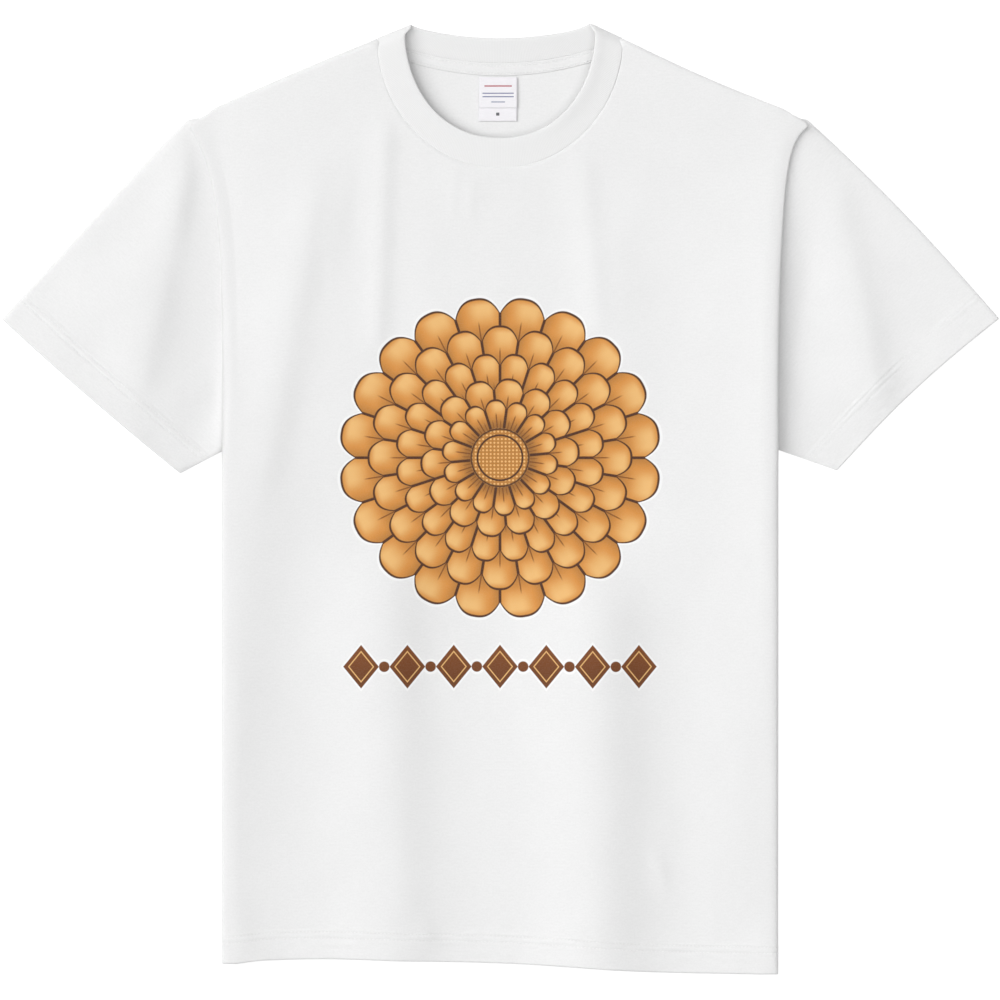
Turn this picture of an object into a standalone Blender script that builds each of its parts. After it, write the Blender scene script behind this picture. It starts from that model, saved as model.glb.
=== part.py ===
"""A short-sleeved crew-neck T-shirt lying on its back on a flat surface, front upwards.

+X is towards the right of the picture, +Y towards the collar and +Z up. The origin is on the
surface, under the middle of the shirt. The sides are -1 for the left of the picture and 1 for the
right.
"""

import math

import bmesh
import bpy

MM = 0.001  # in metres

# Driving dimensions, in millimetres: a size L shirt, 740 long from the neck to the hem.
CLOTH = 1.2  # every panel's thickness as a solid
GAP = 0.4  # clear space between neighbouring pieces
HALF_BODY = 222.0  # from the middle to the rolled side, as the body lies
HEM_Y = -370.5
HEM_DROP = 10.0  # how much lower the hem hangs at the right side
SHOULDER_Y = 304.0  # the shoulder point, where the armhole seam starts
SHOULDER_X = {-1: 248.5, 1: 246.0}
SHOULDER_SLOPE = 0.437
SHOULDER_BOW = {-1: 0.3, 1: -3.0}
ROLL = 12.0  # radius of the rolled side
SHOULDER_ROLL = 5.0
LAP = 3.0  # how far the front's rolled edge lies over the back panel
UNDERARM_Y = 40.0
ARMHOLE_TUCK = 7.4  # how far a sleeve goes in under the body's rolled side
SHOULDER_SHARE = 0.2  # of a panel's top edge, for each shoulder

# The neckband: two ellipses in front, and two shallow arcs at the back.
NECK_SEAM = {"half": 98.5, "y": 369.0, "drop": 104.3, "back_y": 349.2, "back_rise": 19.8, "power": 2.0}
NECK_EDGE = {"half": 76.5, "y": 379.7, "drop": 90.5, "back_y": 369.4, "back_rise": 10.6, "power": 2.15}
BAND = 2.0  # the ribbed band is two layers thick
FRONT_BAND = (16.7, 18.1)  # height of the band's outer face at its seam and at its free edge
BACK_BAND = (0.6, 3.4)
TUCK_START = 3.2  # how far outside the band's seam the front's neckline starts to go in under it
TUCK_DEPTH = 3.2
TAPE_WIDTH = 9.6
TAPE_HALF = 93.0

# Sleeves: the top end and the bottom corner of each cuff, by side.
CUFF_TOP = {-1: (398.0, 143.6), 1: (398.0, 143.6)}
CUFF_CORNER = {-1: (256.4, 20.4), 1: (270.0, 22.8)}
CUFF_BOW = {-1: -1.4, 1: -4.4}  # the left cuff curves outwards, and the right one inwards
SLEEVE_BOW = {-1: 1.0, 1: 4.4}
SLEEVE_LOFT = 14.0
SLEEVE_EDGE = 3.4  # half the height of a sleeve's folded edge
SLEEVE_ROOT = 7.8  # a sleeve's height where it goes in under the body
ROOT_SHARE = 0.045  # the part of a sleeve's length that is under the body

# Height of the front's outer face above the surface.
LOFT_MIDDLE = 17.0
LOFT_SIDE = 27.0
LOFT_HEM_LOSS = 2.5
LOFT_SHOULDER_LOSS = 9.0
NECK_HEIGHT = 16.5

LABELS = {
    "label": {"x": -1.5, "top": 338.2, "width": 31.0, "height": 24.8, "z": 2.8, "lift": 1.6},
    "size_label": {"x": -1.8, "top": 316.6, "width": 31.0, "height": 13.8, "z": 2.4, "lift": 0.3},
}
LABEL_THICKNESS = 0.8

# How finely the pieces are divided.
FRONT_COLUMNS, SIDE_CELLS = 40, 5
FRONT_ROWS, TOP_CELLS = 28, 4
BACK_COLUMNS, BACK_ROWS = 28, 18
SLEEVE_AROUND, SLEEVE_ALONG = 26, 10
BAND_STATIONS = 72

# Long soft folds: (x, y) at both ends, the left and right flank's width, and the height.
BODY_FOLDS = (
    ((-92, -40), (-95, -390), 44, 26, 5.0),
    ((72, -60), (76, -390), 40, 28, 5.5),
    ((-150, 262), (-205, 20), 26, 15, 3.2),
    ((-205, 20), (-214, -250), 20, 30, 2.0),
    ((190, -90), (186, -380), 34, 24, 1.6),
    ((88, 250), (96, 40), 34, 28, 1.6),
    ((-20, 60), (-30, -150), 50, 46, -1.8),
)
SLEEVE_FOLDS = {
    -1: (
        ((-250, 276), (-262, 216), 14, 12, 4.0),
        ((-262, 216), (-297, 84), 24, 16, 4.5),
        ((-352, 160), (-322, 120), 26, 22, -1.6),
    ),
    1: (
        ((262, 268), (284, 176), 15, 15, 3.0),
        ((284, 176), (300, 84), 24, 17, 4.5),
        ((352, 160), (330, 120), 26, 22, -1.6),
    ),
}

SHIRT_WHITE = (0.83, 0.83, 0.83, 1.0)
BAND_WHITE = (0.80, 0.80, 0.80, 1.0)
LABEL_WHITE = (0.86, 0.85, 0.88, 1.0)


def ease(low, high, value):
    """0 below low, 1 above high and smooth between."""
    t = min(1.0, max(0.0, (value - low) / (high - low)))
    return t * t * (3.0 - 2.0 * t)


def mix(a, b, t):
    return a + (b - a) * t


def mix_points(p, q, t):
    return mix(p[0], q[0], t), mix(p[1], q[1], t)


def bowed(p, q, bow, t):
    """The point at t on a shallow arc from p to q, which stands out to the left by bow."""
    dx, dy = q[0] - p[0], q[1] - p[1]
    length = math.hypot(dx, dy)
    lift = bow * math.sin(math.pi * t)
    x, y = mix_points(p, q, t)
    return x - dy / length * lift, y + dx / length * lift


def fold_height(folds, x, y):
    """The height of all the long folds at a place. A fold's left flank may be wider than its right."""
    total = 0.0
    for (x0, y0), (x1, y1), left, right, height in folds:
        dx, dy = x1 - x0, y1 - y0
        length = math.hypot(dx, dy)
        along = ((x - x0) * dx + (y - y0) * dy) / length
        across = ((x - x0) * -dy + (y - y0) * dx) / length
        width = left if across < 0 else right
        fade = ease(-30, 45, along) * (1.0 - ease(length - 20, length + 40, along))
        total += height * fade * math.exp(-((across / width) ** 2))
    return total


def hem_y(x):
    """The hem lifts a little left of the middle and hangs lower to the right."""
    return HEM_Y - HEM_DROP * ease(-60, 240, x) + 2.4 * math.exp(-(((x + 140) / 60) ** 2))


def side_x(side, y):
    """The rolled side: straight up from the hem, then out to the shoulder point."""
    flare = SHOULDER_X[side] - HALF_BODY
    t = max(0.0, (y - 80.0) / (SHOULDER_Y - 80.0))
    return side * (HALF_BODY + flare * t**4.4)


def neck_point(curve, angle, outward=0.0):
    """A point of the neckband's seam or edge: 180 to 360 degrees is the front, 0 to 180 the back."""
    c, s = math.cos(angle), math.sin(angle)
    half, drop = curve["half"] + outward, curve["drop"] + outward
    power = 2.0 / curve["power"]
    x = half * math.copysign(abs(c) ** power, c)
    if s <= 0:
        return x, curve["y"] - drop * abs(s) ** power
    return x, curve["back_y"] - outward + curve["back_rise"] * (x / half) ** 2


def body_loft(x, y):
    """Height of the front between its rolled edges, folds included."""
    out = min(1.0, abs(x) / HALF_BODY)
    high = LOFT_MIDDLE + (LOFT_SIDE - LOFT_MIDDLE) * out**3
    high -= LOFT_HEM_LOSS * (1.0 - ease(HEM_Y, HEM_Y + 140, y))
    high -= LOFT_SHOULDER_LOSS * ease(150, 320, y) * ease(0.35, 1.0, out)
    near_neck = 1.0 - ease(0, 60, math.hypot(x, y - 330) - 100)
    return mix(high, NECK_HEIGHT, near_neck) + fold_height(BODY_FOLDS, x, y) * (1.0 - near_neck)


def rolled_end(x, y):
    """Height at which the front's rolled edge ends: on the back panel, or on a sleeve above the underarm."""
    above_sleeve = ease(UNDERARM_Y - 14, UNDERARM_Y - 2, y) * ease(188, 204, abs(x))
    return mix(CLOTH + GAP, SLEEVE_ROOT + GAP + 0.2, above_sleeve)


def patch(u, v, bottom, top, left, right):
    """A point between four edges, with u and v from 0 to 1. A side's curve fades quickly away from it."""
    b, t, le, r = bottom(u), top(u), left(v), right(v)
    left_ends, right_ends = mix_points(left(0), left(1), v), mix_points(right(0), right(1), v)
    return tuple(
        mix(b[i], t[i], v) + (le[i] - left_ends[i]) * (1 - u) ** 6 + (r[i] - right_ends[i]) * u**6 for i in (0, 1)
    )


def panel_edges(inset, shoulder_inset, clear, neck_turn):
    """The four edges of a body panel's flat part, as functions of 0 to 1. The neck is a turn from side to side."""
    shoulder_y = SHOULDER_Y - shoulder_inset + inset * SHOULDER_SLOPE

    def bottom(u):
        x = mix(-(HALF_BODY - inset), HALF_BODY - inset, u)
        return x, hem_y(x)

    def side_edge(side):
        low = hem_y(side * (HALF_BODY - inset))

        def edge(v):
            y = mix(low, shoulder_y, v)
            return side_x(side, y) - side * inset, y

        return edge

    def top(u):
        if SHOULDER_SHARE < u < 1 - SHOULDER_SHARE:
            t = (u - SHOULDER_SHARE) / (1 - 2 * SHOULDER_SHARE)
            return neck_point(NECK_SEAM, math.radians(mix(*neck_turn, t)), clear)
        side = -1 if u < 0.5 else 1
        start = neck_point(NECK_SEAM, math.radians(neck_turn[0 if side < 0 else 1]), clear)
        end = side_x(side, shoulder_y) - side * inset, shoulder_y
        return bowed(start, end, SHOULDER_BOW[side] * side, 1 - (u if side < 0 else 1 - u) / SHOULDER_SHARE)

    return bottom, top, side_edge(-1), side_edge(1)


def grid_shell(name, columns, rows, place, thickness, close_u=False):
    """A grid whose points place(u, v) puts where they belong, with its thickness added inwards."""
    mesh = bpy.data.meshes.new(name)
    work = bmesh.new()
    bmesh.ops.create_grid(work, x_segments=columns, y_segments=rows, size=0.5)
    for vertex in work.verts:
        point = place(vertex.co.x + 0.5, vertex.co.y + 0.5)
        vertex.co = [value * MM for value in point]
    if close_u:
        bmesh.ops.remove_doubles(work, verts=work.verts, dist=0.01 * MM)
    work.to_mesh(mesh)
    work.free()
    shell = bpy.data.objects.new(name, mesh)
    shirt.objects.link(shell)
    solid = shell.modifiers.new("cloth thickness", "SOLIDIFY")
    solid.thickness = thickness * MM
    solid.offset = -1.0
    mesh.shade_smooth()
    return shell


def finish(name, colour, roughness):
    """A plain cloth finish."""
    material = bpy.data.materials.new(name)
    material.use_nodes = True
    shader = material.node_tree.nodes["Principled BSDF"]
    shader.inputs["Base Color"].default_value = colour
    shader.inputs["Roughness"].default_value = roughness
    shader.inputs["Metallic"].default_value = 0.0
    return material


def split_share(share, rolled, cells):
    """Where a column lies, as shares of the flat part and of the roll at the nearer side."""
    position = share * cells
    flat = cells - 2 * rolled
    if position < rolled:
        return 0.0, 1 - position / rolled
    if position > rolled + flat:
        return 1.0, (position - rolled - flat) / rolled
    return (position - rolled) / flat, 0.0


def make_front(material):
    """The front panel. Its sides and shoulders roll down to the back, and its neckline goes in under the band."""
    bottom, top, left, right = panel_edges(ROLL, SHOULDER_ROLL, TUCK_START, (183, 357))

    def tucked(x, y, high, share):
        """The neckline: a small step down, then in towards the middle of the neck."""
        reach = math.hypot(x, y - NECK_SEAM["y"])
        inward = 2 * TUCK_START * share / reach
        return x - x * inward, y - (y - NECK_SEAM["y"]) * inward, high - TUCK_DEPTH * ease(0, 0.55, share)

    def rolled(x, y, high, out, up):
        """The sides and shoulders: out is the share of the side's roll, and up the share of the shoulder's."""
        out, up = out * math.sqrt(1 - up * up / 2), up * math.sqrt(1 - out * out / 2)
        share = math.hypot(out, up)
        near_shoulder = ease(UNDERARM_Y + 90, SHOULDER_Y - 10, y)
        side = -1 if x < 0 else 1
        radius = mix(ROLL, ROLL * 0.55, near_shoulder)
        side_turn = mix(mix(178, 128, ease(UNDERARM_Y - 16, UNDERARM_Y, y)), 100, near_shoulder)
        ends = max(1 - ease(108, 140, abs(x)), ease(0.93, 0.99, abs(x / side_x(side, y))))
        top_turn = mix(178, 100, ends)
        end = math.radians(mix(side_turn, top_turn, (up / share) ** 2))
        low = rolled_end(x, y)
        z = low + (high - low) * (1 - (1 - math.cos(end * share)) / (1 - math.cos(end)))
        x += side * (math.sin(end * share) * radius * out / share + (ROLL - radius) * min(1.0, out * 2))
        return x, y + SHOULDER_ROLL * math.sin(end * share) * up / share, z

    def place(u, v):
        flat_u, out = split_share(u, SIDE_CELLS, FRONT_COLUMNS)
        row, flat_rows = v * FRONT_ROWS, FRONT_ROWS - TOP_CELLS
        flat_v, up = min(1.0, row / flat_rows), max(0.0, row - flat_rows) / TOP_CELLS
        x, y = patch(flat_u, flat_v, bottom, top, left, right)
        high = body_loft(x, y)
        if abs(flat_u - 0.5) < 0.49 - SHOULDER_SHARE:
            return tucked(x, y, high, up)
        return rolled(x, y, high, out, up) if out + up > 0 else (x, y, high)

    panel = grid_shell("body_front", FRONT_COLUMNS, FRONT_ROWS, place, CLOTH)
    panel.data.materials.append(material)


def make_back(material):
    """The back panel, flat on the surface."""
    bottom, top, left, right = panel_edges(ROLL - LAP, SHOULDER_ROLL - LAP + 1.0, 2 * GAP, (162, 18))

    def place(u, v):
        x, y = patch(u, 1 - (1 - v) ** 1.3, bottom, top, left, right)
        return x, y, CLOTH

    panel = grid_shell("body_back", BACK_COLUMNS, BACK_ROWS, place, CLOTH)
    panel.data.materials.append(material)


def make_sleeve(side, name, material):
    """A flattened tube from under the body's rolled side to the cuff."""
    shoulder = side * SHOULDER_X[side], SHOULDER_Y
    cuff_top = side * CUFF_TOP[side][0], CUFF_TOP[side][1]
    cuff_low = side * CUFF_CORNER[side][0], CUFF_CORNER[side][1]

    def root(t):
        y = mix(SHOULDER_Y + 1.0, UNDERARM_Y + 2.0, t)
        return side_x(side, y) - side * ARMHOLE_TUCK, y

    def cuff(t):
        return bowed(cuff_top, cuff_low, CUFF_BOW[side], t)

    def upper(s):
        if s < ROOT_SHARE:
            return mix_points(root(0), shoulder, s / ROOT_SHARE)
        return bowed(shoulder, cuff_top, SLEEVE_BOW[side] * side, (s - ROOT_SHARE) / (1 - ROOT_SHARE))

    def lower(s):
        return mix_points(root(1), cuff_low, s)

    def place(u, v):
        turn = 2 * math.pi * u * side
        t = 0.5 - 0.5 * math.cos(turn)
        out = v**1.35
        x, y = patch(t, out, root, cuff, upper, lower)
        across = (1 - abs(2 * t - 1) ** 14) ** 0.5
        if math.sin(turn) < 0:
            return x, y, SLEEVE_EDGE * (1 - across)
        loft = mix(SLEEVE_ROOT, SLEEVE_LOFT, ease(0.05, 0.5, out) * ease(0, 0.3, t) * (1 - ease(0.7, 1, t)))
        high = loft + fold_height(SLEEVE_FOLDS[side], x, y) * ease(0.05, 0.25, out)
        return x, y, SLEEVE_EDGE + (high - SLEEVE_EDGE) * across

    sleeve = grid_shell(name, SLEEVE_AROUND, SLEEVE_ALONG, place, CLOTH, close_u=True)
    sleeve.data.materials.append(material)


def make_collar(material):
    """The ribbed neckband: a flat ring, high in front, turned over at the shoulders and low at the back."""

    def place(u, v):
        angle = 2 * math.pi * u
        x, y = mix_points(neck_point(NECK_SEAM, angle), neck_point(NECK_EDGE, angle), v)
        front = 0.5 - 0.5 * math.tanh(math.sin(angle) / 0.1)
        return x, y, mix(mix(*BACK_BAND, v), mix(*FRONT_BAND, v), front)

    band = grid_shell("collar", BAND_STATIONS, 3, place, BAND, close_u=True)
    band.data.materials.append(material)


def make_tape(material):
    """The tape that covers the back neck seam on the inside."""

    def place(u, v):
        x = mix(-TAPE_HALF, TAPE_HALF, u)
        seam = NECK_SEAM["back_y"] + NECK_SEAM["back_rise"] * (x / NECK_SEAM["half"]) ** 2
        return x, seam - 0.9 - TAPE_WIDTH * (1 - v), CLOTH * 2 + GAP

    tape = grid_shell("neck_tape", 24, 1, place, CLOTH)
    tape.data.materials.append(material)


def make_label(name, sizes, material):
    """A woven label below the tape, its lower end a little lifted."""

    def place(u, v):
        x = sizes["x"] + (u - 0.5) * sizes["width"]
        y = sizes["top"] - sizes["height"] * (1 - v)
        return x, y, sizes["z"] + sizes["lift"] * ease(0, 0.6, 1 - v)

    label = grid_shell(name, 4, 4, place, LABEL_THICKNESS)
    label.data.materials.append(material)


for old in list(bpy.data.objects):
    bpy.data.objects.remove(old)
shirt = bpy.data.collections.new("t-shirt")
bpy.context.scene.collection.children.link(shirt)

jersey = finish("white jersey", SHIRT_WHITE, 0.9)
rib = finish("white rib", BAND_WHITE, 0.9)
woven = finish("woven label", LABEL_WHITE, 0.6)

make_front(jersey)
make_back(jersey)
make_sleeve(-1, "sleeve_left", jersey)
make_sleeve(1, "sleeve_right", jersey)
make_collar(rib)
make_tape(jersey)
for label_name, label_sizes in LABELS.items():
    make_label(label_name, label_sizes, woven)
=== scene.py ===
"""A white crew-neck T-shirt lying flat on its back, seen from straight above.

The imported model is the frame. This script dresses it in cloth, stitching, labels and a print. Shapes are
worked out in millimetres and turned into metres when a mesh is made. +X is to the right of the picture, +Y
towards the collar and +Z up. The sides are -1 for the left of the picture and 1 for the right.
"""

import math

import bmesh
import bpy
import numpy as np
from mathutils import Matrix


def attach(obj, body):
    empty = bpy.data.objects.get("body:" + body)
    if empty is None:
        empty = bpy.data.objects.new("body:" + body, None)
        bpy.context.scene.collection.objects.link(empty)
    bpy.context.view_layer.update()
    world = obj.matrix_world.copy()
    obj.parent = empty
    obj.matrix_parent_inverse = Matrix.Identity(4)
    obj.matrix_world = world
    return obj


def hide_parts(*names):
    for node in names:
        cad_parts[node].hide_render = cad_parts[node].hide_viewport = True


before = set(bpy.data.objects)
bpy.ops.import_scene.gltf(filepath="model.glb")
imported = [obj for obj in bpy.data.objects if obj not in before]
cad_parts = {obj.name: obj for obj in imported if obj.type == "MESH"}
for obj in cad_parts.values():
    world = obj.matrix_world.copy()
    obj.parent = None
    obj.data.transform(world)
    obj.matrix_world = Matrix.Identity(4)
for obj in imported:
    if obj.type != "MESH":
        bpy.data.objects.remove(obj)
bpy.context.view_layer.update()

bl_info = {
    "name": "Laid-out T-shirt",
    "version": (1, 0, 0),
    "blender": (4, 5, 0),
    "location": "View3D > Sidebar > T-shirt",
    "description": "Builds a white T-shirt with its stitching, labels and print, and a plain stage",
    "category": "Object",
}

MM = 0.001  # in metres
CLOTH_MAP = "Cloth"  # the UV map that lies along each cloth, in metres

# Sizes in millimetres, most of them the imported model's. Pairs are the left and the right side's.
CLOTH, GAP = 1.2, 0.4
HALF_BODY = 222.7
HEM_Y, HEM_DROP = -370.5, 10.0
SHOULDER_Y = 304.0
SHOULDER_X = (248.5, 246.0)
SHOULDER_SLOPE = 0.437
SHOULDER_BOW = (1.0, -1.8)
ROLL, SHOULDER_ROLL, LAP = 12.0, 5.0, 3.0  # LAP is how far the back panel reaches under a roll
UNDERARM_Y = 40.0
ARMHOLE_TUCK = 7.4
SHOULDER_SHARE = 0.2  # the part of a panel's width that one shoulder takes

# How the front's edges turn over: the turns are in degrees, and the others in millimetres
ROLL_SQUARENESS, ARMHOLE_SQUARENESS = 0.4, 0.8  # 1 is a round roll, and less is a squarer one
TURN_UNDER, TURN_OVER_SLEEVE, TURN_AT_SHOULDER = 178, (80, 128), 100
COLLAR_PULL = (4.0, 2.0)  # inwards and upwards, where a shoulder seam meets the collar
CORNER_TRIM = 8.0  # how much lower a shoulder's outer corner lies
ROLL_CLOTH = 26.0  # the cloth that a rolled side takes up
NECK_TUCK, NECK_STEP, NECK_FALL = 7.0, 0.5, 2.0

NECK_SEAM = {"half": 98.5, "y": 369.0, "drop": 104.3, "back_y": 349.2, "back_rise": 19.8, "power": 2.0}
NECK_EDGE = {"half": 76.5, "y": 379.7, "drop": 90.5, "back_y": 369.4, "back_rise": 10.6, "power": 2.15}
BAND, BAND_WIDTH = 2.0, 22.0
FRONT_BAND, BACK_BAND = (12.7, 14.0), (0.6, 3.4)  # heights at the seam and at the free edge
BAND_RIDGE = 1.1  # how much the band's right half stands up near its free edge
PEAK_IN, PEAK_UP, PEAK_LENGTH = (5.4, 4.5), (0.0, 1.4), (0.045, 0.035)
TAPE_WIDTH, TAPE_HALF, TAPE_CLOTH = 10.4, 93.0, 0.7
TAPE_HEIGHT = (1.95, 2.45)  # at its lower and upper edge

CUFF_TOP = ((399.0, 144.0), (400.0, 144.6))
CUFF_CORNER = ((256.4, 20.4), (270.0, 22.8))
CUFF_BOW, SLEEVE_BOW, SHOULDER_BULGE = (-1.4, -4.4), (-0.2, 3.4), (2.2, 0.5)
SLEEVE_LOFT, SLEEVE_ROOT = (13.0, 5.8), (6.8, 9.2)  # heights of its middle and where it meets the body
SLEEVE_EDGE, ROOT_SHARE = 3.4, 0.045  # height of its edges, and the share of it under the body

LOFT_MIDDLE, LOFT_SIDE = 17.0, 27.0  # heights of the front, and below them how much lower parts of it lie
LOFT_HEM_LOSS, CHEST_FALL, ARMHOLE_FALL, NECK_HEIGHT = 2.5, 4.5, 4.0, 12.6

# Rows of stitches, in millimetres from a hem's edge or as shares of the tape's width
HEM_ROWS, CUFF_ROWS, TAPE_ROWS = (17.0, 22.0), (21.0, 25.5), (0.16, 0.76)
HEM_GROOVE, TAPE_GROOVE, STITCH_RISE = 0.42, 0.34, 0.36
TAPE_STITCH = {"Pitch": 0.0026, "Length": 0.0015, "Thread": 0.0007}  # in metres

LABELS = {
    "label": {"x": -1.5, "top": 338.2, "width": 31.0, "height": 24.8, "z": 2.7, "lift": 0.5},
    "size_label": {"x": -1.8, "top": 316.6, "width": 31.0, "height": 13.8, "z": 2.2, "lift": 0.3},
}

# Folds: both ends, the width of the left and right flank, and the height
BODY_FOLDS = (
    ((-94, -40), (-84, -390), 46, 32, 8.2),
    ((77, -60), (80, -390), 46, 38, 12.5),
    ((-146, 262), (-190, 20), 24, 16, 3.6),
    ((-190, 20), (-212, -200), 20, 26, 2.4),
    ((190, -90), (186, -380), 34, 24, 1.6),
    ((88, 250), (96, 40), 34, 28, 2.0),
    ((-20, 60), (-30, -150), 50, 46, -1.8),
)
SMALL_FOLDS = (
    ((-92, 300), (-98, 130), 12, 9, 2.1),
    ((66, 275), (78, 140), 13, 10, 1.7),
    ((-34, 262), (-38, 236), 4, 4, 0.7),
    ((-22, 260), (-24, 232), 4, 4, 0.7),
    ((-126, 252), (-134, 190), 10, 8, 0.8),
    ((124, -282), (131, -306), 7, 6, 1.2),
    ((-207, -334), (-203, -352), 9, 8, 1.3),
    ((-62, -336), (-58, -352), 12, 8, 1.2),
    ((206, -340), (210, -362), 9, 7, 1.2),
    ((62, -346), (64, -360), 8, 6, 0.6),
)
SLEEVE_FOLDS = (
    (
        ((-251, 284), (-261, 222), 18, 12, 4.4),
        ((-261, 222), (-292, 84), 30, 15, 3.9),
        ((-352, 160), (-322, 120), 26, 22, -1.6),
    ),
    (
        ((262, 268), (284, 176), 22, 15, 3.0),
        ((284, 176), (300, 84), 28, 16, 4.6),
        ((352, 160), (330, 120), 26, 22, -1.6),
    ),
)

# The print, in millimetres. A ring of petals: how many, their tips' and roots' radii, how round the tips
# are, and the turn as a share of a petal.
PETAL_RINGS = (
    (20, 129.0, 82.0, 13.0, 0.0),
    (20, 106.0, 62.0, 12.0, 0.5),
    (20, 84.0, 44.0, 10.0, 0.0),
    (14, 64.0, 30.0, 10.0, 0.3),
    (14, 47.0, 20.0, 8.0, 0.8),
)
HEART, HEART_RING = 23.0, 18.0  # radii of the rosette's middle and of the ring on it
LOZENGE_PITCH, LOZENGE, LOZENGE_INLAY, DOT = 37.0, 15.0, 4.6, 4.2
LOZENGE_ROW_END = 129.5

# Bars on the labels: height of the middle, half the width, half the length, and the colour
NAVY = (0.05, 0.07, 0.22)
LABEL_BARS = (
    (5.2, 0.55, 11.0, (0.42, 0.05, 0.07)),
    (-0.6, 0.4, 12.5, NAVY),
    (-3.4, 0.4, 12.5, NAVY),
    (-7.6, 0.35, 5.5, NAVY),
)
SIZE_LABEL_BARS = ((-1.2, 1.2, 1.3, (0.05, 0.05, 0.06)),)

# How cotton takes the light
COTTON = {"Sheen_Weight": 0.12, "Sheen_Roughness": 0.5, "Specular_IOR_Level": 0.25}


def length_value(name, description, default, **limits):
    """A length in metres that a user can change."""
    return bpy.props.FloatProperty(
        name=name, description=description, default=default, unit="LENGTH", **limits
    )


def angle_value(name, description, degrees):
    """An angle that a user can change."""
    return bpy.props.FloatProperty(
        name=name, description=description, default=math.radians(degrees), subtype="ANGLE"
    )


def colour_value(name, description, *default):
    """A linear colour that a user can change."""
    return bpy.props.FloatVectorProperty(
        name=name, description=description, default=default, size=3, subtype="COLOR"
    )


class ClothSizes(bpy.types.PropertyGroup):
    """How the jersey is cut, turned up and puckered."""

    thickness: length_value("Jersey", "Thickness of one layer", 0.0008, min=0.0002)
    cell: length_value("Cell", "Size of the cloth's mesh cells", 0.0033, min=0.002)
    hem_width: length_value("Hem", "How far the hem is turned up", 0.024, min=0.01)
    cuff_width: length_value("Sleeve hem", "How far a sleeve's hem is turned up", 0.028, min=0.01)
    turn: length_value("Turn", "Radius of a turned hem's edge", 0.001, min=0.0005)
    pucker: length_value("Pucker", "Height of the puckers between the stitches", 0.00022)
    unevenness: length_value("Unevenness", "Height of the cloth's soft unevenness", 0.0006)


class StitchSizes(bpy.types.PropertyGroup):
    """The machine stitching."""

    pitch: length_value("Pitch", "From one stitch to the next", 0.003, min=0.001)
    length: length_value("Length", "The part of a stitch that shows", 0.0018, min=0.0005)
    thread: length_value("Thread", "Width of the sewing thread", 0.0008, min=0.0001)
    wander: angle_value("Wander", "How far a stitch turns off its row", 5)


class PrintSizes(bpy.types.PropertyGroup):
    """The ornament on the chest: a rosette over a row of lozenges."""

    radius: length_value("Rosette", "Radius of the rosette", 0.129, min=0.02)
    middle: length_value("Height", "Height of the rosette's middle", 0.033)
    lozenge_row: length_value("Lozenges", "Height of the row of lozenges", -0.134)
    outline: length_value("Outline", "Width of the dark outlines", 0.0017, min=0.0002)


class Colours(bpy.types.PropertyGroup):
    """Linear colours of the cloths and of the print."""

    jersey: colour_value("Jersey", "The white of the cloth", 0.815, 0.815, 0.815)
    rib: colour_value("Rib", "The white of the neckband", 0.80, 0.80, 0.80)
    label: colour_value("Label", "The white of the labels", 0.86, 0.845, 0.875)
    thread: colour_value("Thread", "The white of the sewing thread", 0.85, 0.85, 0.85)
    gold: colour_value("Gold", "The print's caramel gold", 0.65, 0.27, 0.053)
    light: colour_value("Light gold", "The print's light tone", 0.80, 0.47, 0.17)
    outline: colour_value("Outline", "The print's dark lines", 0.075, 0.025, 0.008)
    brown: colour_value("Brown", "The colour of the lozenges", 0.17, 0.05, 0.009)
    ground: colour_value("Ground", "The print's white ground", 0.90, 0.90, 0.90)


class StageSettings(bpy.types.PropertyGroup):
    """The floor, the light and the camera."""

    width: length_value("Picture", "Width of what the camera sees", 0.8, min=0.1)
    key: bpy.props.FloatProperty(
        name="Key light", description="Strength of the light from the left", default=1.62
    )
    key_height: angle_value("Key height", "Angle above the floor", 47)
    key_softness: angle_value("Key softness", "Angle that the light fills", 46)
    overhead: bpy.props.FloatProperty(
        name="Overhead", description="Strength of the light from above", default=1.28
    )
    fill: bpy.props.FloatProperty(
        name="Fill light", description="Strength of the light from all round", default=0.3
    )


# ---- Shapes, in millimetres. Every function takes and gives arrays. ----


def ease(low, high, value):
    """0 below low, 1 above high and smooth between."""
    t = np.clip((value - low) / (high - low), 0.0, 1.0)
    return t * t * (3.0 - 2.0 * t)


def bell(value, width):
    return np.exp(-((value / width) ** 2))


def signed_power(value, power):
    return np.sign(value) * np.abs(value) ** power


def mix(a, b, t):
    return a + (b - a) * t


def mix_points(p, q, t):
    return mix(p[0], q[0], t), mix(p[1], q[1], t)


def bowed(p, q, bow, t):
    """The point at t on a shallow arc from p to q, which stands out to the left by bow."""
    dx, dy = q[0] - p[0], q[1] - p[1]
    length = np.hypot(dx, dy)
    lift = bow * np.sin(np.pi * t)
    x, y = mix_points(p, q, t)
    return x - dy / length * lift, y + dx / length * lift


def fold_height(folds, x, y, fade_in=(-30, 45), fade_out=(20, 40)):
    """The height of all the folds at a place. A fold's left flank may be wider than its right."""
    total = np.zeros(np.broadcast(x, y).shape)
    for (x0, y0), (x1, y1), left, right, height in folds:
        dx, dy = x1 - x0, y1 - y0
        length = math.hypot(dx, dy)
        along = ((x - x0) * dx + (y - y0) * dy) / length
        across = ((x - x0) * -dy + (y - y0) * dx) / length
        width = np.where(across < 0, left, right)
        fade = ease(*fade_in, along) * (1.0 - ease(length - fade_out[0], length + fade_out[1], along))
        total += height * fade * bell(across, width)
    return total


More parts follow.
